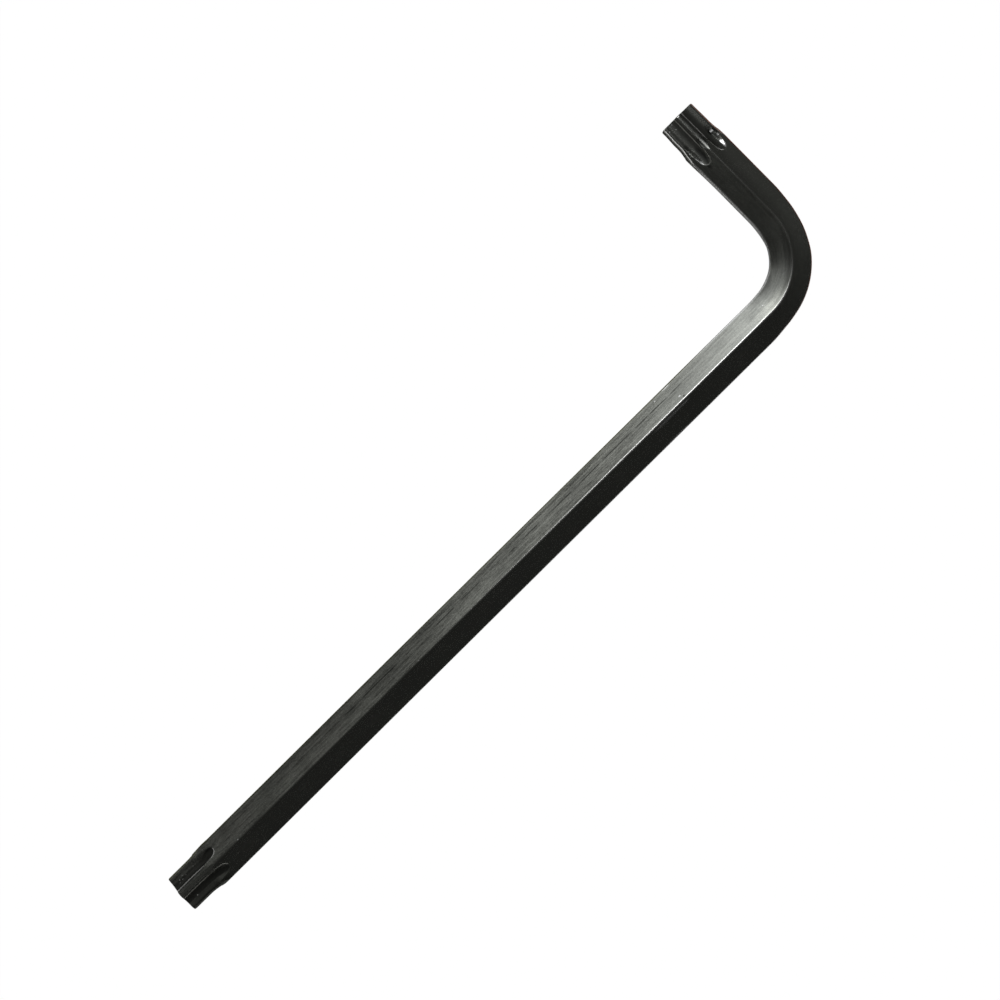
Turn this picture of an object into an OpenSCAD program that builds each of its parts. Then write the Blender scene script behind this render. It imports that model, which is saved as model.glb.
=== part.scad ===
// Star-drive key: one hexagonal steel bar, bent once by a quarter turn, with a six-lobe star
// on each end. It lies flat on the edges of the bar. The long arm runs along X, the short arm
// points along +Y, and the origin is on the floor below the middle of the whole key.

/* [Bar] */
// Width of the hexagonal bar across its flats
across_flats = 5.56; // [5.4:0.02:6]
// How far the long edges are worn back from a sharp corner
edge_relief = 0.03; // [0.02:0.01:0.15]

/* [Arms] */
// Length of the long arm, from its end face to the outer side of the bend
long_arm = 116.6; // [60:0.2:250]
// Length of the short arm, from its end face to the outer side of the bend
short_arm = 28.8; // [24:0.2:60]
// Radius of the inner side of the bend
bend_inner_r = 6.1; // [3:0.1:10]

/* [Star] */
// Diameter over the six points of the star
star_point_d = 5.6; // [5.5:0.02:5.8]
// Diameter over the roots of the six flutes
star_root_d = 4.05; // [3.8:0.05:4.3]
// Radius that rounds each point
point_r = 0.45; // [0.38:0.01:0.5]
// Chamfer round the rim of each end face
end_chamfer = 0.15; // [0.05:0.05:0.4]

/* [Run-out] */
// Length over which the flutes keep their full depth
flute_full_l = 3.9; // [2:0.1:6]
// Length over which the flutes then run out to the flats
flute_runout_l = 3.3; // [2.4:0.1:6]
// Distance from the end face to the start of the turned shoulder
shoulder_start = 1.7; // [0.5:0.1:4]
// Length over which the shoulder rises to the edges of the bar
shoulder_l = 4.1; // [1:0.1:8]

/* [Hidden] */
// Fragments in a full turn, and in a full turn of the wide arcs
$fn = 42;
wide_fn = 3 * $fn;
// Number of flats, flutes and points
sides = 6;
pitch = 360 / sides;
half_pitch = pitch / 2;
// How far cutting shapes run past what they cut
over = 1;

// Bar: radius at a sharp corner, and at the worn edges on which the key rests
half_flats = across_flats / 2;
corner_r = half_flats / cos(half_pitch);
edge_r = corner_r - edge_relief;

// Arms: centre line of the bend, and the straight length left in each arm
bend_turn = 90;
bend_r = bend_inner_r + half_flats;
long_straight = long_arm - half_flats - bend_r;
short_straight = short_arm - half_flats - bend_r;

// Star: each flute is as wide as brings it onto the round of the points beside it. It cuts
// into them by a hair, so that the two surfaces cross and don't just touch.
flute_bite = 0.008;
star_r = star_point_d / 2;
root_r = star_root_d / 2;
point_centre_r = star_r - point_r;
point_reach = point_r - flute_bite;
flute_r = (pow(root_r, 2) + pow(point_centre_r, 2) - pow(point_reach, 2)
    - 2 * root_r * point_centre_r * cos(half_pitch))
    / (2 * (point_reach - root_r + point_centre_r * cos(half_pitch)));
flute_centre_r = root_r + flute_r;

// Core: the round blank left by turning, as thick as the place where a flute meets a point
meet = flute_r / (flute_r + point_reach);
core_r = norm([
    flute_centre_r * (1 - meet) + point_centre_r * meet * cos(half_pitch),
    point_centre_r * meet * sin(half_pitch)
]);

// Run-out: a flute's floor rises along an arc, from the root to the flat
flute_depth = half_flats - root_r;
floor_r = (pow(flute_runout_l, 2) + pow(flute_depth, 2)) / (2 * flute_depth);
runout_r = floor_r - flute_r;
runout_turn = 45;

// Shoulder: a hollow arc that leaves the core along the axis and rises to the edges
shoulder_rise = edge_r - core_r;
shoulder_r = (pow(shoulder_l, 2) + pow(shoulder_rise, 2)) / (2 * shoulder_rise);

// The bar's section, with a corner up, a corner down and a flat at each side
module bar_section() {
    intersection() {
        polygon([for (i = [0 : sides - 1]) corner_r * [sin(i * pitch), cos(i * pitch)]]);
        circle(r = edge_r);
    }
}

// The bent bar before its ends are worked: long arm, bend and short arm
module bent_bar() {
    translate([-long_straight, -bend_r, 0]) rotate([90, 0, 90]) linear_extrude(long_straight) bar_section();
    rotate_extrude(angle = bend_turn, start = -bend_turn, $fn = wide_fn) translate([bend_r, 0]) bar_section();
    translate([bend_r, short_straight, 0]) rotate([90, 0, 0]) linear_extrude(short_straight) bar_section();
}

// Places a shape at both end faces, with its Z axis pointing into the bar
module at_both_ends() {
    translate([-long_straight, -bend_r, 0]) rotate([90, 0, 90]) children();
    translate([bend_r, short_straight, 0]) rotate([90, 0, 0]) children();
}

// What turning takes off an end: down to the core, then less along the shoulder
module turning_waste() {
    rotate_extrude() {
        translate([core_r, -over]) square([corner_r, shoulder_start + over]);
        intersection() {
            translate([core_r + shoulder_r, shoulder_start]) circle(r = shoulder_r, $fn = wide_fn);
            translate([core_r, shoulder_start]) square([corner_r, 2 * shoulder_l]);
        }
    }
}

// What the chamfer takes off the rim of an end face
module chamfer_waste() {
    rotate_extrude() polygon([
        [star_r - end_chamfer - over, -over],
        [star_r + over, end_chamfer + over],
        [star_r + over, -over]
    ]);
}

// The six round points of a star, buried in the bar at their inner ends
module points() {
    for (i = [0 : sides - 1]) rotate(half_pitch + i * pitch)
        translate([point_centre_r, 0, 0]) cylinder(r = point_r, h = shoulder_start + shoulder_l);
}

// What one flute takes off: straight at full depth, then curving out through the flat
module flute() {
    translate([flute_centre_r, 0, -over]) cylinder(r = flute_r, h = flute_full_l + over);
    translate([flute_centre_r + runout_r, 0, flute_full_l]) rotate([90, 0, 0])
        rotate_extrude(angle = runout_turn, start = 180 - runout_turn, $fn = wide_fn)
            translate([runout_r, 0]) circle(r = flute_r);
}

// The whole key. It is built about the bend's centre, then moved to the middle of its outline.
module star_key() {
    color([0.17, 0.17, 0.16])
        translate([long_straight - long_arm / 2, short_arm / 2 - short_straight, edge_r])
            difference() {
                union() {
                    difference() {
                        bent_bar();
                        at_both_ends() turning_waste();
                    }
                    at_both_ends() points();
                }
                at_both_ends() for (i = [0 : sides - 1]) rotate(i * pitch) flute();
                at_both_ends() chamfer_waste();
            }
}

star_key();
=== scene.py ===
"""Star-drive key: the looks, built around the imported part.

The key is one swept skin. Each point of it has a place along the bent bar and an angle round it,
and the functions under "Form" give its distance from the bar's centre line.
Lengths are in millimetres until a vertex is written.
"""

import math

import bpy
import numpy as np
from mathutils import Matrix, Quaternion, Vector


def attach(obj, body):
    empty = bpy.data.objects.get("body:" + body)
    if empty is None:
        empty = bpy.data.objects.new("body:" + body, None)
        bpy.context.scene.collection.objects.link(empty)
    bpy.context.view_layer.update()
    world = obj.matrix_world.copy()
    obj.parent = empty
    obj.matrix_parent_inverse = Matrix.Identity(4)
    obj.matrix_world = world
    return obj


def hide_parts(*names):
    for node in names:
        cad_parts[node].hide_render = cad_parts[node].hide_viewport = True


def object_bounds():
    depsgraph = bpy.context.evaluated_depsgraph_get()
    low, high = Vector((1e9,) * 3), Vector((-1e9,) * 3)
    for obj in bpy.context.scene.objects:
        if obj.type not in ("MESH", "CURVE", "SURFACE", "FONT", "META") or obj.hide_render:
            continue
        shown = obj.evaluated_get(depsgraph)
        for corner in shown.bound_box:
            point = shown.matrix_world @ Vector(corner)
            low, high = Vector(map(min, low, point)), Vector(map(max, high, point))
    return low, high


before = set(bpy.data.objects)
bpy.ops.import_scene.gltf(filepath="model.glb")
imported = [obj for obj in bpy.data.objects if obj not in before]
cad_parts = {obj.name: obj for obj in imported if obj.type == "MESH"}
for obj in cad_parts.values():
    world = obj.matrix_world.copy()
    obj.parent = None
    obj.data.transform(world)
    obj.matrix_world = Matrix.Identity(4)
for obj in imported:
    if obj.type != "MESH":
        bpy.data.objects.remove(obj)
CAD_LO, CAD_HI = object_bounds()
MM = 0.001

# ---- Sizes: the overall ones come from the frame, the others are the source's ----
LONG_ARM = (CAD_HI.x - CAD_LO.x) / MM
SHORT_ARM = (CAD_HI.y - CAD_LO.y) / MM
EDGE_R = (CAD_HI.z - CAD_LO.z) / 2 / MM
ACROSS_FLATS = 5.56
BEND_INNER_R = 6.1
STAR_POINT_D = 5.6
STAR_ROOT_D = 4.05
POINT_R = 0.45
END_CHAMFER = 0.15
FLUTE_FULL_L = 3.9
FLUTE_RUNOUT_L = 3.3
SHOULDER_START = 1.7
SHOULDER_L = 4.1

SIDES = 6
HALF_PITCH = math.pi / SIDES
HALF_FLATS = ACROSS_FLATS / 2
FLAT_W = 2 * HALF_FLATS * math.tan(HALF_PITCH)
BEND_R = BEND_INNER_R + HALF_FLATS
LONG_STRAIGHT = LONG_ARM - HALF_FLATS - BEND_R
SHORT_STRAIGHT = SHORT_ARM - HALF_FLATS - BEND_R
BEND_TURN = math.pi / 2
BEND_L = BEND_R * BEND_TURN
TOTAL_L = LONG_STRAIGHT + BEND_L + SHORT_STRAIGHT
FLUTES_L = FLUTE_FULL_L + FLUTE_RUNOUT_L

# ---- What drawing, forging, bending and wear have made of this key ----
# The long arm's bar is this much wider than its nominal size, all of it on the inner side
OVERSIZE = 0.07

# The points stand this much higher, are turned off flat on top, and rise to the bar's edges from this
# far in
POINT_LIFT = 0.05
LAND_START = 3.0

# A flute narrows between these distances from the end, and its round end closes from the third.
# Outside that half width its walls rise this steeply.
RUNOUT_NARROWS = (2.4, 4.9)
RUNOUT_ROUNDS_FROM = 6.4
FLUTE_HALF_W, RUNOUT_HALF_W = 1.30, 0.62
RUNOUT_WALL = 5.0

# Each star sits a little turned on the bar, and the skin's lines swing back to the bar's edges
# between these distances from the end
LONG_STAR_TWIST = math.radians(1.2)
SHORT_STAR_TWIST = math.radians(-1.8)
TWIST_FADES = (7, 4)

# The long end face is cut back this far on its inner side, over this length of the bar
END_SLANT = 0.24
END_SLANT_L = 2.0

# Pushes sideways in the plane of the key: the long star leans inward and the long arm bows inward
LONG_STAR_LEAN = 0.10
LONG_ARM_BOW = 0.045

# Metal upset at the stars, on the inner and the outer side, and the short star's taper
LONG_LIP_INNER, LONG_LIP_OUTER = 0.04, 0.05
SHORT_SWELL_INNER, SHORT_SWELL_OUTER = 0.10, 0.04
SHORT_LIP_INNER = 0.08
SHORT_TAPER_INNER, SHORT_TAPER_OUTER = 0.08, 0.04

# The bend's outer side is drawn thinner as it starts and in its middle, and gets its metal back near its
# end. Its inner side swells near both ends, and is drawn in a little from its middle to the short star.
BEND_THINS, BEND_THINS_MORE, BEND_REGAINS = 0.33, 0.08, 0.37
BEND_SWELL_FIRST, BEND_SWELL_LAST = 0.08, 0.10
BEND_DRAWN_IN, BEND_DRAWN_IN_MORE = 0.035, 0.015

# Height of the crown that the bend raises on the flats of its inner side
CROWN = 0.11

# Widths over which the creases are rounded
LAND_CREASE, POINT_CREASE, FLUTE_CREASE = 0.02, 0.04, 0.05
SHOULDER_CREASE, CHAMFER_CREASE = 0.08, 0.04

# ---- Sizes that follow ----
# Round on the bar's long edges that reaches as far out as the solid's worn edges do
EDGE_ROUND = (HALF_FLATS / math.cos(HALF_PITCH) - EDGE_R) / (1 / math.cos(HALF_PITCH) - 1)

STAR_R = STAR_POINT_D / 2
ROOT_R = STAR_ROOT_D / 2
POINT_CENTRE_R = STAR_R - POINT_R
FLUTE_R = (
    (ROOT_R**2 + POINT_CENTRE_R**2 - POINT_R**2 - 2 * ROOT_R * POINT_CENTRE_R * math.cos(HALF_PITCH))
    / (2 * (POINT_R - ROOT_R + POINT_CENTRE_R * math.cos(HALF_PITCH)))
)
FLUTE_CENTRE_R = ROOT_R + FLUTE_R
MEET = FLUTE_R / (FLUTE_R + POINT_R)
CORE_R = math.hypot(
    FLUTE_CENTRE_R * (1 - MEET) + POINT_CENTRE_R * MEET * math.cos(HALF_PITCH),
    POINT_CENTRE_R * MEET * math.sin(HALF_PITCH),
)
FLUTE_DEPTH = HALF_FLATS - ROOT_R
FLOOR_R = (FLUTE_RUNOUT_L**2 + FLUTE_DEPTH**2) / (2 * FLUTE_DEPTH)
RUNOUT_R = FLOOR_R - FLUTE_R
SHOULDER_RISE = EDGE_R - CORE_R
SHOULDER_R = (SHOULDER_L**2 + SHOULDER_RISE**2) / (2 * SHOULDER_RISE)
POINT_RISE = EDGE_R - STAR_R
LAND_L = SHOULDER_START + SHOULDER_L - LAND_START
LAND_R = (LAND_L**2 + POINT_RISE**2) / (2 * POINT_RISE)

# No flute reaches this far from the end. A rim counts from where the flute's wall is RIM_SINK below the
# points, and its bright line comes no nearer than RIM_LINE to the middle of a point.
FLUTES_END = FLUTES_L + 1.5
RIM_STEPS = np.arange(0, FLUTES_END, 0.05)
RIM_SINK = 0.03
RIM_LINE = 0.70


# ---- Form ----
def ease(x, start, end):
    """Rises smoothly from 0 to 1 between start and end, or falls where end is below start."""
    t = np.clip((x - start) / (end - start), 0, 1)
    return t * t * (3 - 2 * t)


def smooth_min(a, b, width):
    """The lower of two surfaces, with their crease rounded over the given width."""
    h = np.clip(width - np.abs(a - b), 0, None) / width
    return np.minimum(a, b) - h * h * width / 4


def smooth_max(a, b, width):
    """The higher of two surfaces, with their crease rounded over the given width."""
    return -smooth_min(-a, -b, width)


def bar_radius(psi):
    """The hexagonal bar, with rounded edges, at an angle psi from the nearest edge."""
    flat = HALF_FLATS / np.cos(HALF_PITCH - psi)
    centre = (HALF_FLATS - EDGE_ROUND) / math.cos(HALF_PITCH)
    rounded = centre * np.cos(psi) + np.sqrt(np.clip(EDGE_ROUND**2 - (centre * np.sin(psi)) ** 2, 0, None))
    reach = math.atan2(EDGE_ROUND * math.sin(HALF_PITCH), centre + EDGE_ROUND * math.cos(HALF_PITCH))
    return np.where(psi < reach, rounded, flat)


def point_radius(psi, z):
    """The round points of the star, with a narrow turned land along the top of each."""
    inside = POINT_R**2 - (POINT_CENTRE_R * np.sin(psi)) ** 2
    point = np.where(inside > 0, POINT_CENTRE_R * np.cos(psi) + np.sqrt(np.clip(inside, 0, None)), 0)
    run = np.clip(z - LAND_START, 0, LAND_L)
    rise = LAND_R - np.sqrt(LAND_R**2 - run**2)
    return smooth_min(point + POINT_LIFT, STAR_R, LAND_CREASE) + rise


def shoulder_radius(z):
    """The turned core and the hollow shoulder that rises from it, at a distance z from the end."""
    run = np.clip(z - SHOULDER_START, 0, SHOULDER_R * 0.99)
    return CORE_R + SHOULDER_R - np.sqrt(SHOULDER_R**2 - run**2)


def flute_radius(phi, z):
    """The floor and walls of a flute, at an angle phi from its middle. Far out where there is none."""
    reach = np.linspace(ROOT_R * 0.98, EDGE_R * 1.08, 240)
    run = np.clip(z - FLUTE_FULL_L, 0, None)[:, None]
    across = reach[None, :] * np.sin(phi)[:, None]
    inward = FLUTE_CENTRE_R + RUNOUT_R - reach[None, :] * np.cos(phi)[:, None]
    gap = (np.sqrt(inward**2 + run**2) - RUNOUT_R) ** 2 + across**2 - FLUTE_R**2
    inside = gap < 0
    first = inside.argmax(axis=1)
    rows = np.arange(len(phi))
    before = np.clip(first - 1, 0, None)
    g0, g1 = gap[rows, before], gap[rows, first]
    part = np.where(first > 0, g0 / np.where(g0 - g1 == 0, 1, g0 - g1), 0)
    hit = reach[before] + part * (reach[first] - reach[before])
    # The walls stand steeper in the run-out than the flute's own arc
    close = np.clip((z - RUNOUT_ROUNDS_FROM) / (FLUTES_L - RUNOUT_ROUNDS_FROM), 0, 1)
    half_w = FLUTE_HALF_W + (RUNOUT_HALF_W - FLUTE_HALF_W) * ease(z, *RUNOUT_NARROWS)
    half_w = half_w * np.sqrt(1 - close**2)
    hit = hit + RUNOUT_WALL * np.clip(np.abs(hit * np.sin(phi)) - half_w, 0, None)
    return np.where(inside.any(axis=1), hit, EDGE_R * 2)


def from_edge(theta, twist=0):
    """Angle from the nearest edge of the bar, or from the nearest point of a star twisted from it."""
    return np.abs((theta - twist - math.pi / 2 + HALF_PITCH) % (2 * HALF_PITCH) - HALF_PITCH)


def key_radius(theta, z, twist):
    """The whole form: bar, shoulder, points and flutes, with their creases a little rounded."""
    psi = from_edge(theta, twist)
    bar = bar_radius(from_edge(theta))
    body = smooth_min(bar, shoulder_radius(z), SHOULDER_CREASE)
    body = smooth_max(body, np.minimum(point_radius(psi, z), bar), POINT_CREASE)
    near = z < FLUTES_END
    cut = np.full_like(psi, EDGE_R * 2)
    cut[near] = flute_radius(HALF_PITCH - psi[near], z[near])
    body = smooth_min(body, cut, FLUTE_CREASE)
    rim = STAR_R - END_CHAMFER + np.clip(z, 0, None)
    return np.where(z < 1, smooth_min(body, rim, CHAMFER_CREASE), body)


def flute_rim(z):
    """Angle from the nearest point of the star to a flute's rim, at distances z from the end."""
    psi, along = np.meshgrid(np.linspace(0, HALF_PITCH, 361), z)
    body = np.minimum(bar_radius(psi), np.maximum(shoulder_radius(along), point_radius(psi, along)))
    cut = flute_radius(HALF_PITCH - psi.ravel(), along.ravel()).reshape(psi.shape)
    inside = cut < body - RIM_SINK
    return np.where(inside.any(axis=1), psi[0][inside.argmax(axis=1)], HALF_PITCH)


def rim_distance(psi, z):
    """Distance in the skin from a flute's rim, in millimetres: above 0 in the flute, below 0 outside it."""
    rim = flute_rim(RIM_STEPS)
    end = RIM_STEPS[np.argmax(rim >= HALF_PITCH)]
    rim = np.maximum(rim, RIM_LINE / CORE_R)
    here = np.interp(z, RIM_STEPS, rim)
    slope = np.interp(z, RIM_STEPS, np.gradient(rim, RIM_STEPS)) * CORE_R
    beside = (psi - here) * CORE_R / np.sqrt(1 + slope**2)
    past = -np.hypot((HALF_PITCH - psi) * CORE_R, z - end)
    return np.where(z < end, np.maximum(beside, past), past)


def bump(x, middle, width):
    """A smooth hump, 1 high at its middle."""
    return np.exp(-(((x - middle) / width) ** 2))


def round_bend(u):
    """Degrees round the bend, which runs from 0 to 90."""
    return np.degrees((u - LONG_STRAIGHT) / BEND_R)


def sideways(u, side):
    """How far the skin has been pushed outward in the plane of the key.

    Each push comes or goes between two places: millimetres from an end, or degrees round the bend.
    """
    from_long, from_short, turn = u, TOTAL_L - u, round_bend(u)
    inner = np.clip(-side / HALF_FLATS, 0, 1)
    outer = np.clip(side / HALF_FLATS, 0, 1)
    push = -OVERSIZE * (1 - side / HALF_FLATS) / 2 * ease(turn, 110, 40)
    # The long arm
    push -= LONG_STAR_LEAN * ease(from_long, 5.5, 3.0)
    push -= LONG_ARM_BOW * np.sin(math.pi * np.clip((from_long - 5) / (LONG_STRAIGHT - 10), 0, 1))
    push -= inner * LONG_LIP_INNER * bump(from_long, 6.1, 0.8)
    push += outer * LONG_LIP_OUTER * bump(from_long, 3.8, 0.8)
    # The short arm
    push -= inner * SHORT_SWELL_INNER * ease(from_short, 10.0, 5.5)
    push -= inner * SHORT_LIP_INNER * bump(from_short, 4.5, 0.7)
    push += outer * SHORT_SWELL_OUTER * ease(from_short, 6.0, 4.0)
    push += inner * SHORT_TAPER_INNER * ease(from_short, 2.4, 0.6)
    push -= outer * SHORT_TAPER_OUTER * ease(from_short, 2.4, 0.6)
    # The bend
    push -= outer * BEND_THINS * ease(turn, -18, 12)
    push -= outer * BEND_THINS_MORE * ease(turn, 50, 63)
    push += outer * BEND_REGAINS * ease(turn, 74, 106)
    push -= inner * BEND_SWELL_FIRST * (ease(turn, -8, 4) - ease(turn, 18, 45)) * ease(turn, 98, 86)
    push -= inner * BEND_SWELL_LAST * ease(turn, 62, 80) * ease(turn, 97, 84)
    drawn_in = BEND_DRAWN_IN * ease(turn, 20, 40) + BEND_DRAWN_IN_MORE * ease(turn, 80, 100)
    push += inner * drawn_in * ease(from_short, 4, 8)
    return push


def crown(u, theta):
    """How far the inner flats stand proud of the hexagon where the bend has squeezed them."""
    turn = round_bend(u)
    across = np.abs(np.abs(theta - math.pi) - 2 * HALF_PITCH) / HALF_PITCH
    return CROWN * np.clip(1 - across**2, 0, 1) * ease(turn, -22, 2) * ease(turn, 75, 25)


# ---- Skin ----
# Lines to each side of an edge, and how closely they crowd towards it
EDGE_STEPS = 16
EDGE_CROWDING = 1.5
# The line that runs along the flutes' rims, and how far from its edge they may take it
RIM_STEP = 10
RIM_LIMIT = math.radians(22)

# Distances of the first rings from an end, round its chamfer
CHAMFER_RINGS = (0, 0.02, 0.05, 0.1, 0.15, 0.2, 0.28)
# Steps between the rings on the stars, the long arm, the bend and the short arm
STAR_STEP, LONG_STEP, BEND_STEP, SHORT_STEP = 0.1, 0.8, 0.2, 0.6
# How far the close rings of a star reach beyond its flutes, and those of the bend beyond its ends
STAR_RINGS_PAST, BEND_RINGS_PAST = 1.6, 3
# Sizes of the rings that close each end face, as shares of its outline
END_FACE_RINGS = (0.97, 0.9, 0.7, 0.4, 0.15, 0)


def lines_round():
    """Lines round the bar, crowded towards its edges: each one's edge, and its angle from that edge."""
    steps = np.arange(-EDGE_STEPS, EDGE_STEPS)
    psi = np.sign(steps) * HALF_PITCH * (np.abs(steps) / EDGE_STEPS) ** EDGE_CROWDING
    edges = np.arange(SIDES) * 2 * HALF_PITCH - math.pi / 2 + 2 * HALF_PITCH
    return np.repeat(edges, len(steps)), np.tile(psi, SIDES)


def along_rims(psi, z):
    """Shifts the lines on each ring so that one of them runs along the rims of the flutes."""
    line = HALF_PITCH * (RIM_STEP / EDGE_STEPS) ** EDGE_CROWDING
    rim = np.convolve(np.pad(flute_rim(RIM_STEPS), 2, mode="edge"), np.ones(5) / 5, mode="valid")
    to = np.interp(z, RIM_STEPS, np.minimum(rim, RIM_LIMIT))
    in_runout = ease(z, 4.0, 5.5) * ease(z, FLUTES_L + 1.0, FLUTES_L - 0.6)
    to = line + (to - line) * in_runout
    to = to[:, None]
    size = np.abs(psi)[None, :]
    below = size * to / line
    above = HALF_PITCH - (HALF_PITCH - size) * (HALF_PITCH - to) / (HALF_PITCH - line)
    return np.sign(psi)[None, :] * np.where(size < line, below, above)


def places_along():
    """Places of the rings along the bar, close together at the star ends and round the bend."""
    end_l = FLUTES_L + STAR_RINGS_PAST
    first, last = LONG_STRAIGHT - BEND_RINGS_PAST, LONG_STRAIGHT + BEND_L + BEND_RINGS_PAST
    end = [*CHAMFER_RINGS, *np.arange(CHAMFER_RINGS[-1] + STAR_STEP, end_l, STAR_STEP)]
    places = [
        *end,
        *np.arange(end_l, first, LONG_STEP),
        *np.arange(first, last, BEND_STEP),
        *np.arange(last, TOTAL_L - end_l, SHORT_STEP),
        *(TOTAL_L - np.array(end)),
    ]
    return np.unique(np.round(places, 4))


def spine(u):
    """Centre line, direction and outward side of the bend, at places u along the bar."""
    turn = np.clip((u - LONG_STRAIGHT) / BEND_R, 0, BEND_TURN)
    along = np.stack([np.cos(turn), np.sin(turn)], axis=1)
    out = np.stack([np.sin(turn), -np.cos(turn)], axis=1)
    before = np.clip(u - LONG_STRAIGHT, None, 0)
    after = np.clip(u - LONG_STRAIGHT - BEND_L, 0, None)
    middle = np.stack([LONG_STRAIGHT - LONG_ARM / 2, SHORT_ARM / 2 - SHORT_STRAIGHT])
    place = BEND_R * out + (before + after)[:, None] * along + middle
    return place, along, out


def add_attribute(mesh, name, values):
    attribute = mesh.attributes.new(name, "FLOAT", "POINT")
    attribute.data.foreach_set("value", np.asarray(values, dtype=np.float32))


def skin_points(u, edges, psi):
    """The points of the skin, ring by ring, and what the material reads at each of them.

    That is its depth below the plain bar, and its distances from the nearest edge and flute's rim.
    """
    place, along, out = spine(u)
    z = np.minimum(u, TOTAL_L - u)
    twist = np.where(u < TOTAL_L / 2, LONG_STAR_TWIST, SHORT_STAR_TWIST)[:, None]
    angle = edges[None, :] + along_rims(psi, z) + twist * ease(z[:, None], *TWIST_FADES)
    z_all, twist_all = (np.broadcast_to(a, angle.shape) for a in (z[:, None], twist))
    radius = key_radius(angle.ravel(), z_all.ravel(), twist_all.ravel()).reshape(angle.shape)
    radius = radius + crown(u[:, None], angle % (2 * math.pi))
    rise = radius * np.sin(angle)
    side = radius * np.cos(angle)
    back = END_SLANT * np.clip(-side / ROOT_R, 0, 1) * ease(u[:, None], END_SLANT_L, 0)
    side = side + sideways(u[:, None], side)
    flat = place[:, None, :] + side[:, :, None] * out[:, None, :] + back[:, :, None] * along[:, None, :]
    verts = np.concatenate([flat, (rise + EDGE_R)[:, :, None]], axis=2).reshape(-1, 3)
    verts = np.clip(verts, np.array(CAD_LO) / MM, np.array(CAD_HI) / MM)
    depth = (bar_radius(from_edge(angle)) - radius).ravel()
    edge_gap = np.tile(np.abs(psi) * EDGE_R, len(u))
    rim_gap = rim_distance(from_edge(angle, twist), z_all).ravel()
    return verts, depth, edge_gap, rim_gap


def places_round(theta):
    """Places round the bar, along its flats, counted from the top edge towards the inner side."""
    lap = np.append(theta, theta[0] + 2 * math.pi) - math.pi / 2
    flats_past = np.floor(lap / (2 * HALF_PITCH) + 1e-9) + 0.5
    return flats_past * FLAT_W + HALF_FLATS * np.tan(lap - flats_past * 2 * HALF_PITCH)


def close_end(verts, faces, corners, outline, u_end, out, away):
    """Closes an end of the skin with ever smaller rings. away is -1 at the long end, 1 at the short one."""
    around = len(outline)
    centre = np.mean([verts[i] for i in outline], axis=0)
    rim = outline
    for scale in END_FACE_RINGS:
        if scale:
            inner = list(range(len(verts), len(verts) + around))
            verts.extend([centre + (verts[i] - centre) * scale for i in outline])
        else:
            inner = [len(verts)] * around
            verts.append(centre)
        for a in range(around):
            b = (a + 1) % around
            face = [rim[a], inner[a], inner[b], rim[b]]
            if away > 0:
                face.reverse()
            if not scale:
                face.remove(inner[0])
            faces.append(face)
            for i in face:
                across = (verts[i] - centre) @ np.array([*out, 0])
                corners.append((u_end + away * (2 * EDGE_R + across), verts[i][2]))
        rim = inner


def build_key():
    """The whole skin, with a map of places along and round the bar."""
    edges, psi = lines_round()
    u, v = places_along(), places_round(edges + psi)
    verts, depth, edge_gap, rim_gap = skin_points(u, edges, psi)
    rings, around = len(u), len(psi)
    faces, corners = [], []
    for r in range(rings - 1):
        for a in range(around):
            b = (a + 1) % around
            faces.append((r * around + a, r * around + b, (r + 1) * around + b, (r + 1) * around + a))
            corners.extend([(u[r], v[a]), (u[r], v[a + 1]), (u[r + 1], v[a + 1]), (u[r + 1], v[a])])
    verts = list(verts)
    outs = spine(u)[2]
    for ring, away in ((0, -1), (rings - 1, 1)):
        outline = list(range(ring * around, (ring + 1) * around))
        close_end(verts, faces, corners, outline, u[ring], outs[ring], away)

    mesh = bpy.data.meshes.new("key_bar")
    mesh.from_pydata([tuple(float(c) * MM for c in v) for v in verts], [], faces)
    uv = mesh.uv_layers.new(name="bar")
    uv.data.foreach_set("uv", np.array(corners, dtype=np.float32).ravel())
    # The end faces count as deep, and as far from any edge or rim
    on_ends = np.ones(len(verts) - len(depth))
    add_attribute(mesh, "depth", np.append(depth, on_ends))
    add_attribute(mesh, "edge_gap", np.append(edge_gap, on_ends))
    add_attribute(mesh, "rim_gap", np.append(rim_gap, -on_ends))
    mesh.update()
    mesh.shade_smooth()
    key = bpy.data.objects.new("key_bar", mesh)
    bpy.context.scene.collection.objects.link(key)
    return key


key = build_key()
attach(key, "root")
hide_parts("star_key")


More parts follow.
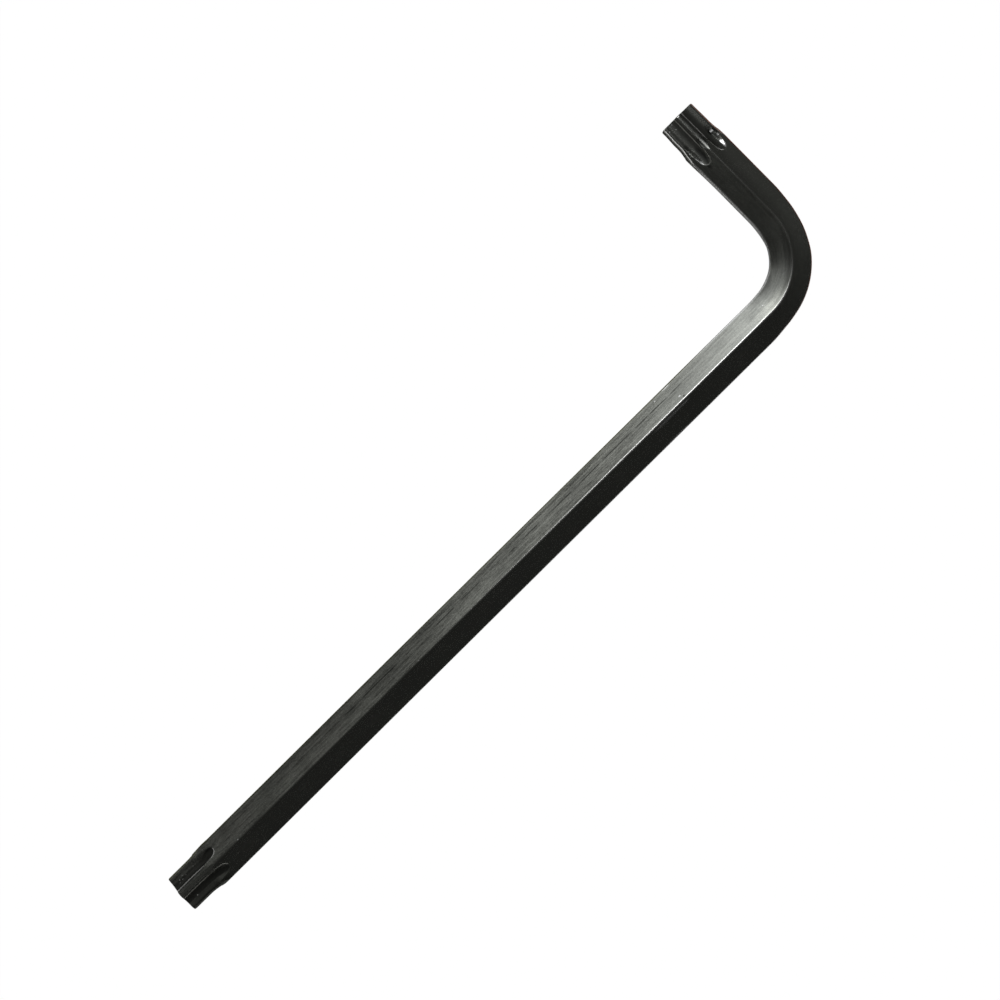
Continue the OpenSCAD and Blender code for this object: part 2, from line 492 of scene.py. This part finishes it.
# ---- Steel ----
class Graph:
    """Shorthands for building a material's nodes."""

    def __init__(self, name):
        self.material = bpy.data.materials.new(name)
        self.material.use_nodes = True
        self.tree = self.material.node_tree
        self.shader = self.tree.nodes["Principled BSDF"]

    def node(self, kind, inputs=None, **settings):
        node = self.tree.nodes.new(kind)
        for name, value in settings.items():
            setattr(node, name, value)
        for name, value in (inputs or {}).items():
            self.feed(node.inputs[name], value)
        return node

    def feed(self, socket, value):
        if isinstance(value, bpy.types.NodeSocket):
            self.tree.links.new(value, socket)
        else:
            socket.default_value = value

    def shade(self, name, value):
        """Sets an input of the shader, to a constant or from a node."""
        self.feed(self.shader.inputs[name], value)

    def math(self, operation, a, b=0.0):
        return self.node("ShaderNodeMath", {0: a, 1: b}, operation=operation).outputs[0]

    def plus(self, first, *others):
        for other in others:
            first = self.math("ADD", first, other)
        return first

    def times(self, first, *others):
        for other in others:
            first = self.math("MULTIPLY", first, other)
        return first

    def most(self, first, *others):
        for other in others:
            first = self.math("MAXIMUM", first, other)
        return first

    def rest(self, share):
        """What a share leaves of the whole."""
        return self.math("SUBTRACT", 1.0, share)

    def gap(self, a, b):
        return self.math("ABSOLUTE", self.math("SUBTRACT", a, b))

    def span(self, value, lo, hi, out_lo=0.0, out_hi=1.0):
        """Maps lo..hi smoothly onto out_lo..out_hi, and holds the ends."""
        node = self.node(
            "ShaderNodeMapRange",
            {"Value": value, "From Min": lo, "From Max": hi, "To Min": out_lo, "To Max": out_hi},
            interpolation_type="SMOOTHSTEP",
        )
        return node.outputs["Result"]

    def noise(self, place, scale, seed, detail=2.0, rough=0.5):
        """Noise over the bar: scale is in bumps a millimetre, along it and round it."""
        stretch = self.node(
            "ShaderNodeVectorMath", {0: place, 1: (scale[0], scale[1], 1)}, operation="MULTIPLY"
        )
        node = self.node(
            "ShaderNodeTexNoise",
            {"Vector": stretch.outputs[0], "W": seed, "Scale": 1.0, "Detail": detail, "Roughness": rough},
            noise_dimensions="4D",
        )
        return node.outputs["Fac"]

    def attribute(self, name):
        return self.node("ShaderNodeAttribute", attribute_name=name).outputs["Fac"]

    def marks(self, u, v, places):
        """Soft-edged oval marks, each as strong as its last figure says."""
        marks = []
        for along, around, half_l, half_w, strength in places:
            du = self.times(self.math("SUBTRACT", u, along), 1 / half_l)
            dv = self.times(self.math("SUBTRACT", v, around), 1 / half_w)
            reach = self.plus(self.times(du, du), self.times(dv, dv))
            marks.append(self.span(reach, 1.0, 0.2, 0.0, strength))
        return self.most(*marks)

    def mix(self, factor, a, b):
        node = self.node("ShaderNodeMix", data_type="RGBA")
        for socket, value in ((0, factor), (6, a), (7, b)):
            self.feed(node.inputs[socket], value)
        return node.outputs[2]


OXIDE = (0.120, 0.123, 0.110)
# Worn oxide, also used for the flute rim lines that are brightened as painted reflection
WORN_OXIDE_AND_REFLECTION = (0.22, 0.22, 0.20, 1)
BARE_STEEL = (0.48, 0.48, 0.47, 1)
# Pale steel, painted as the reflection along the short arm's inner edge
PAINTED_REFLECTION_STEEL = (0.70, 0.70, 0.68, 1)
RUST = (0.24, 0.075, 0.04, 1)
OLIVE = (0.07, 0.072, 0.036, 1)

# A long scratch on the inner-top flat: its place round the bar, and where it starts, is clear and ends
SCRATCH_V = 1.91
SCRATCH_U = (8.2, 42.0, 99.2)
SCRATCH_FADES_L = 14

# The pale line of painted reflection along the short arm's inner edge lies this far above it
PAINTED_REFLECTION_ABOVE_EDGE = 0.11

# Past this distance from the short end, the rim of the inner flute is faint
ARCH_FROM, ARCH_TO = 6.3, 6.7

# Marks of use: place along the bar and round it from the top edge, half length, half width, strength.
# The marks of the short arm's end are counted from that end.
LONG_END_SPECKS = (
    (1.0, 1.8, 0.09, 0.09, 0.35), (1.2, 2.2, 0.11, 0.10, 0.5), (1.6, 1.95, 0.09, 0.08, 0.4),
    (1.9, 2.4, 0.09, 0.08, 0.4), (2.3, 2.1, 0.08, 0.07, 0.3), (3.7, 2.3, 0.09, 0.08, 0.35),
    (6.0, 2.55, 0.10, 0.09, 0.4), (1.55, -2.2, 0.11, 0.10, 0.7),
)
EDGE_NICKS = ((10.2, 0.08, 0.16, 0.12, 0.8), (42.3, 0.06, 0.14, 0.10, 0.8), (51.7, 0.06, 0.16, 0.10, 0.9))
FLAT_NICKS = (
    (86.5, 2.70, 0.14, 0.10, 0.6), (88.7, 3.02, 0.8, 0.12, 0.6), (89.2, 0.75, 0.20, 0.14, 0.6),
    (104.7, 1.53, 0.12, 0.10, 0.25),
)
EDGE_SCUFFS = (
    (86.6, -0.44, 3.6, 0.22, 0.75), (88.6, -0.44, 1.6, 0.18, 0.9), (85.6, -3.05, 2.6, 0.12, 0.8),
)
SHORT_END_SPECKS = (
    (0.28, 1.95, 0.10, 0.09, 0.5), (1.06, 1.95, 0.10, 0.09, 0.5), (0.72, 2.7, 0.09, 0.09, 0.4),
    (4.5, 2.6, 0.12, 0.10, 0.6), (4.85, 2.66, 0.12, 0.10, 0.6), (0.10, 0.0, 0.12, 0.18, 0.9),
    (1.8, 0.0, 0.14, 0.10, 0.3), (4.3, -2.45, 0.20, 0.14, 0.3), (5.2, -2.5, 0.25, 0.14, 0.3),
    (5.0, -3.05, 0.7, 0.07, 0.7),
)
# Polished ends of the short star's flutes
FLUTE_GLINTS = ((5.75, 2.42, 0.60, 0.13, 0.3), (6.4, 2.32, 0.42, 0.14, 0.25), (6.5, -2.34, 0.70, 0.23, 0.9))

# Darker patches: on the long arm and round the bend, a darker coat; on the long and the short star, painted
# shade that dims the reflections there
DARK_COAT_AND_PAINTED_SHADE_PATCHES = (
    (37.2, 1.7, 2.9, 1.7, 0.12), (45.2, 1.5, 3.1, 1.8, 0.10), (89.6, 0.35, 0.22, 0.16, 0.6),
    (107.6, 2.9, 2.8, 0.8, 0.25), (112.6, 0.5, 5.5, 0.75, 0.33),
    (2.6, -2.75, 4.4, 0.65, 0.5), (2.6, -3.15, 4.4, 0.7, 0.7),
    (131.4, 0.1, 1.4, 0.7, 0.65), (131.9, 2.65, 1.2, 0.35, 0.5), (130.0, 1.75, 2.1, 0.70, 0.6),
    (131.7, -2.45, 1.3, 0.55, 0.55), (131.7, -2.4, 0.65, 0.50, 0.8),
)


class BlackOxide(Graph):
    """Black oxide on drawn steel, worn and marked by use, with painted light, shade and reflection in places.

    u is a place along the bar from its long end, and v a place round it from its top edge, above 0 on
    the inner side of the bend.
    """

    def __init__(self):
        super().__init__("black_oxide_steel")
        place = self.node("ShaderNodeUVMap", uv_map="bar").outputs["UV"]
        parts = self.node("ShaderNodeSeparateXYZ", {"Vector": place})
        self.place, self.u, self.v = place, parts.outputs["X"], parts.outputs["Y"]
        self.from_short = self.math("SUBTRACT", TOTAL_L, self.u)
        self.depth, self.edge_gap = self.attribute("depth"), self.attribute("edge_gap")
        self.rim_gap = self.attribute("rim_gap")

        # Which side and which arm a place is on
        self.inner_side = self.span(self.v, -0.1, 0.1)
        self.on_long = self.span(self.u, 60.0, 50.0)
        self.on_short = self.span(self.u, 60.0, 70.0)
        # The end faces carry none of the marks that run along the arms
        self.skin = self.span(self.depth, 0.98, 0.90)

        # Draw lines along the bar, a fine grain, and broad blotches of thicker and thinner oxide
        self.lines = self.noise(place, (0.05, 3.2), 1.0, detail=4.0, rough=0.7)
        self.grain = self.noise(place, (3.0, 4.6), 3.0, detail=2.0, rough=0.6)
        self.blotches = self.noise(place, (0.16, 0.45), 4.0, detail=3.0, rough=0.55)

        # The flutes, and the dull skin of the forged stars outside the ridges of their points
        self.flute = self.span(self.rim_gap, -0.04, 0.10)
        self.dull = self.times(self.span(self.depth, 0.01, 0.06), self.span(self.edge_gap, 0.12, 0.32))
        self.glints = self.marks(self.from_short, self.v, FLUTE_GLINTS)

        self.shade("Base Color", self.stains(self.wear_and_painted_reflection(self.coat_and_painted_light())))
        self.surface()

    def texture(self):
        """Streaks and blotches of the oxide, about 0."""
        streaks = self.noise(self.place, (0.55, 4.6), 2.0, detail=3.0, rough=0.65)
        ripples = self.times(self.noise(self.place, (2.2, 0.35), 5.0), self.span(self.u, 92.0, 106.0))
        texture = self.plus(
            self.span(self.lines, 0.36, 0.64, -0.26, 0.26),
            self.span(streaks, 0.36, 0.64, -0.20, 0.20),
            self.span(self.grain, 0.3, 0.7, -0.20, 0.20),
            self.span(self.blotches, 0.3, 0.7, -0.12, 0.12),
            self.span(ripples, 0.3, 0.7, 0.0, 0.12),
        )
        # The outer flats kept an even coat, and the bend and the short arm a more even one
        by_side = self.span(self.inner_side, 0.0, 1.0, 0.15, 1.0)
        return self.times(texture, by_side, self.span(self.u, 76.0, 96.0, 1.0, 0.5))

    def scratch(self):
        """The long scratch, which breaks off here and there."""
        waver = self.span(self.blotches, 0.2, 0.8, SCRATCH_V - 0.06, SCRATCH_V + 0.06)
        start, clear, end = SCRATCH_U
        return self.times(
            self.span(self.gap(self.v, waver), 0.11, 0.03),
            self.span(self.u, start, clear, 0.25, 1.0),
            self.span(self.u, end, end - SCRATCH_FADES_L),
            self.span(self.noise(self.place, (0.4, 0.1), 6.0), 0.40, 0.52),
        )

    def coat_and_painted_light(self):
        """The oxide's own colour, lighter and darker from place to place, with painted light and shade on the
        flats and painted shade on the stars.
        """
        u, v = self.u, self.v
        # Painted light and shade: each side, and each flat across, is made lighter or darker to follow how
        # the light falls on it, and this changes round the bend
        painted_shade_by_edge = self.times(self.span(u, 108.0, 118.0), self.span(v, -1.9, -0.2, 0.0, 0.3))
        outer = self.math("SUBTRACT", self.span(u, 115.0, 121.0, 1.28, 1.06), painted_shade_by_edge)
        inner = self.times(
            self.span(u, 103.0, 106.5, 1.0, 0.70),
            self.span(u, 112.0, 120.0, 1.0, 1.60),
            self.span(v, 2.6, 0.6, 0.95, 1.14),
        )
        by_side = self.plus(self.times(inner, self.inner_side), self.times(outer, self.rest(self.inner_side)))

        # The stars are darkest in their flutes
        on_top_point = self.times(self.span(self.math("ABSOLUTE", v), 1.7, 1.1), self.span(u, 5.6, 4.0))
        dull_long = self.times(self.span(on_top_point, 0.0, 1.0, 0.38, 0.5), self.on_long)
        dull_short = self.times(self.on_short, 0.6)
        in_flute = self.times(self.flute, self.span(u, 60.0, 70.0, 0.65, 0.2))
        level = self.times(
            self.plus(self.texture(), 1.0),
            by_side,
            self.rest(self.times(self.scratch(), 0.65)),
            # Darker patches of the coat, and painted shade on the stars
            self.rest(self.marks(u, v, DARK_COAT_AND_PAINTED_SHADE_PATCHES)),
            self.rest(self.times(self.dull, self.most(dull_short, dull_long))),
            self.rest(in_flute),
        )
        shares = zip(("Red", "Green", "Blue"), OXIDE)
        return self.node(
            "ShaderNodeCombineColor", {name: self.times(level, share) for name, share in shares}
        ).outputs[0]

    def wear_and_painted_reflection(self, colour):
        """Bright steel along the worn edges and in nicks, worn rim lines on the flutes brightened as painted
        reflection, and a painted reflection along the short arm's inner edge.
        """
        u, v = self.u, self.v
        edges = self.times(
            self.span(self.edge_gap, 0.19, 0.03),
            self.span(u, 38.0, 86.0),
            self.span(u, LONG_STRAIGHT + 8, LONG_STRAIGHT + 2, 0.08, 1.0),
        )
        colour = self.mix(edges, colour, BARE_STEEL)

        arch = self.times(self.span(self.from_short, ARCH_FROM, ARCH_TO), self.on_short, self.inner_side)
        # The rim lines are worn oxide, painted brighter to stand in for the thin reflection on the flutes'
        # rims
        rims = self.times(
            self.span(self.gap(self.rim_gap, 0.02), 0.12, 0.04),
            self.span(v, 2.1, 1.7),
            self.span(v, -1.6, -1.3),
            self.rest(self.times(arch, 0.6)),
        )
        colour = self.mix(rims, colour, WORN_OXIDE_AND_REFLECTION)
        # Painted reflection: the rim lines are brighter still on one side of each point, the inner side on
        # the long star and the outer side on the short one
        reflection_side = self.most(
            self.times(self.span(v, 0.0, 0.2), self.on_long),
            self.times(self.span(v, 0.0, -0.2), self.on_short),
        )
        colour = self.mix(self.times(rims, reflection_side, 0.8), colour, BARE_STEEL)

        nicks = self.most(
            self.marks(u, v, (*LONG_END_SPECKS, *EDGE_NICKS, *FLAT_NICKS, *EDGE_SCUFFS)),
            self.marks(self.from_short, v, SHORT_END_SPECKS),
            self.glints,
        )
        colour = self.mix(nicks, colour, BARE_STEEL)

        # Painted reflection: a pale line along the short arm's inner edge
        painted_reflection = self.times(
            self.span(self.gap(v, FLAT_W - PAINTED_REFLECTION_ABOVE_EDGE), 0.14, 0.06),
            self.span(u, 114.5, 121.0, 0.0, 0.9),
        )
        return self.mix(self.times(painted_reflection, self.skin), colour, PAINTED_REFLECTION_STEEL)

    def stains(self, colour):
        """Rust along the outer side of the short arm, and an olive tint on the long arm's inner side."""
        rust = self.times(
            self.span(self.gap(self.v, -FLAT_W), 0.20, 0.08), self.span(self.u, 100.0, 112.0, 0.0, 0.8)
        )
        colour = self.mix(self.times(rust, self.skin), colour, RUST)
        olive = self.times(self.span(self.gap(self.v, FLAT_W), 0.22, 0.08), self.span(self.u, 100.0, 90.0))
        return self.mix(self.times(olive, self.skin), colour, OLIVE)

    def surface(self):
        """Satin, and more matt in the flutes. Oxide mirrors less than bare metal at a glancing angle."""
        matt = self.times(self.most(self.flute, self.times(self.dull, 0.8)), self.rest(self.glints))
        self.shade("Metallic", self.rest(self.times(matt, 0.075)))
        satin = self.span(self.blotches, 0.3, 0.7, 0.23, 0.28)
        self.shade("Roughness", self.plus(satin, self.times(matt, 0.16)))
        self.shade("Specular Tint", (0.5, 0.5, 0.5, 1))
        height = self.times(
            self.plus(self.lines, self.times(self.grain, 0.4)),
            self.span(self.edge_gap, 0.1, 0.4, 0.2, 1.0),
            self.span(self.inner_side, 0.0, 1.0, 0.1, 1.0),
        )
        bump = self.node("ShaderNodeBump", {"Height": height, "Strength": 0.35, "Distance": 0.006 * MM})
        self.shade("Normal", bump.outputs["Normal"])


key.data.materials.append(BlackOxide().material)


# ---- Studio ----
# The camera looks straight down at its aim, shows FRAME_W of the key's plane across, and sees between
# two distances
AIM = (5.55, -4.31, EDGE_R)
CAMERA_HEIGHT = 729
CAMERA_ROLL = 44.69
FRAME_W = 126.72
SENSOR_W = 36
CAMERA_SEES = (50, 10000)

FLOOR_HALF = 3000

# The surroundings glow this much, more towards the inner side of the long arm and less away from it
WORLD_GLOW = 0.15
WORLD_SLOPE = (0.3, 0.95, 0)

# Strips side by side, each brighter than the last, light the long arm more and more towards the bend
STRIP_W = 4
STRIPS_FROM, STRIPS_FULL, STRIPS_TO = 20, 56, 60
STRIP_NEAR, STRIP_FAR = (20, 42), (40, 24)
STRIP_RADIANCE, STRIP_POWER = 4.0, 1.6
STRIP_COLOUR = (0.92, 0.935, 1)


def add_sheet(name, colour, glow):
    """A level sheet at the height of the floor. glow is how bright it shines by itself."""
    mesh = bpy.data.meshes.new(name)
    h = FLOOR_HALF * MM
    mesh.from_pydata([(-h, -h, 0), (h, -h, 0), (h, h, 0), (-h, h, 0)], [], [(0, 1, 2, 3)])
    sheet = bpy.data.objects.new(name, mesh)
    bpy.context.scene.collection.objects.link(sheet)
    g = Graph(name)
    g.shade("Base Color", (*colour, 1))
    g.shade("Roughness", 0.9)
    g.shade("Emission Color", (1, 1, 1, 1))
    g.shade("Emission Strength", glow)
    mesh.materials.append(g.material)
    return sheet


def add_card(name, across, near, far, radiance, colour=(1, 1, 1), diffuse=False):
    """A lit card whose long sides run along X, from its near edge (y, z) to its far edge (y, z).

    radiance is how bright the card looks in a mirror.
    """
    left, right = across
    middle = Vector(((left + right) / 2, (near[0] + far[0]) / 2, (near[1] + far[1]) / 2))
    up = Vector((0, far[0] - near[0], far[1] - near[1]))
    data = bpy.data.lights.new(name, "AREA")
    data.shape = "RECTANGLE"
    data.size = (right - left) * MM
    data.size_y = up.length * MM
    data.color = colour
    data.energy = radiance * math.pi * data.size * data.size_y
    light = bpy.data.objects.new(name, data)
    light.location = middle * MM
    light.rotation_mode = "QUATERNION"
    normal = Vector((1, 0, 0)).cross(up).normalized()
    down = normal if normal.z < 0 else -normal
    light.rotation_quaternion = down.to_track_quat("-Z", "Y")
    light.visible_camera = False
    light.visible_diffuse = diffuse
    bpy.context.scene.collection.objects.link(light)
    return light


def add_world():
    """Dim surroundings, lightest on the inner side of the long arm and dark on its outer side."""
    world = bpy.data.worlds.new("studio")
    world.use_nodes = True
    nodes, links = world.node_tree.nodes, world.node_tree.links
    coords = nodes.new("ShaderNodeTexCoord")
    slope = nodes.new("ShaderNodeVectorMath")
    slope.operation = "DOT_PRODUCT"
    slope.inputs[1].default_value = WORLD_SLOPE
    level = nodes.new("ShaderNodeMath")
    level.operation = "EXPONENT"
    strength = nodes.new("ShaderNodeMath")
    strength.operation = "MULTIPLY"
    strength.inputs[1].default_value = WORLD_GLOW
    back = nodes["Background"]
    back.inputs["Color"].default_value = (1, 1, 1, 1)
    links.new(coords.outputs["Generated"], slope.inputs[0])
    links.new(slope.outputs["Value"], level.inputs[0])
    links.new(level.outputs[0], strength.inputs[0])
    links.new(strength.outputs[0], back.inputs["Strength"])
    bpy.context.scene.world = world


def add_camera():
    """Straight above the key, turned so that the long arm rises to the right."""
    data = bpy.data.cameras.new("camera")
    data.sensor_width = SENSOR_W
    data.lens = SENSOR_W * CAMERA_HEIGHT / FRAME_W
    data.clip_start, data.clip_end = (distance * MM for distance in CAMERA_SEES)
    camera = bpy.data.objects.new("camera", data)
    camera.location = (Vector(AIM) + Vector((0, 0, CAMERA_HEIGHT))) * MM
    camera.rotation_mode = "QUATERNION"
    camera.rotation_quaternion = Quaternion((0, 0, 1), -math.radians(CAMERA_ROLL))
    bpy.context.scene.collection.objects.link(camera)
    bpy.context.scene.camera = camera


# The camera sees an evenly white floor, and the key stands on a pale one that lights it back
floor = add_sheet("floor", (0, 0, 0), 1.0)
floor.visible_glossy = False
floor.visible_diffuse = False
shaded_floor = add_sheet("shaded_floor", (0.9, 0.9, 0.9), 0)
shaded_floor.visible_camera = False
add_world()
overhead = add_card("overhead", (-600, 600), (-600, 900), (600, 900), 4.2, diffuse=True)
overhead.visible_glossy = False
for left in range(STRIPS_FROM, STRIPS_TO, STRIP_W):
    part = min(1, (left + STRIP_W / 2 - STRIPS_FROM) / (STRIPS_FULL - STRIPS_FROM))
    radiance = STRIP_RADIANCE * part**STRIP_POWER
    add_card(f"bend_card_{left}", (left, left + STRIP_W), STRIP_NEAR, STRIP_FAR, radiance, STRIP_COLOUR)
add_card("arm_card", (-14, 100), (85, 66), (85, 15), 0.95, (0.96, 0.97, 1))
add_card("high_card_left", (16, 39), (60, 190), (150, 140), 3.6)
add_card("high_card_right", (39, 65), (60, 190), (150, 140), 7.4)
add_card("tip_card_low", (51, 60), (47, 66), (62, 52), 4.0)
add_card("tip_card_high", (52, 58), (30, 70), (46, 69), 0.9)
add_camera()
bpy.context.scene.view_settings.view_transform = "Standard"
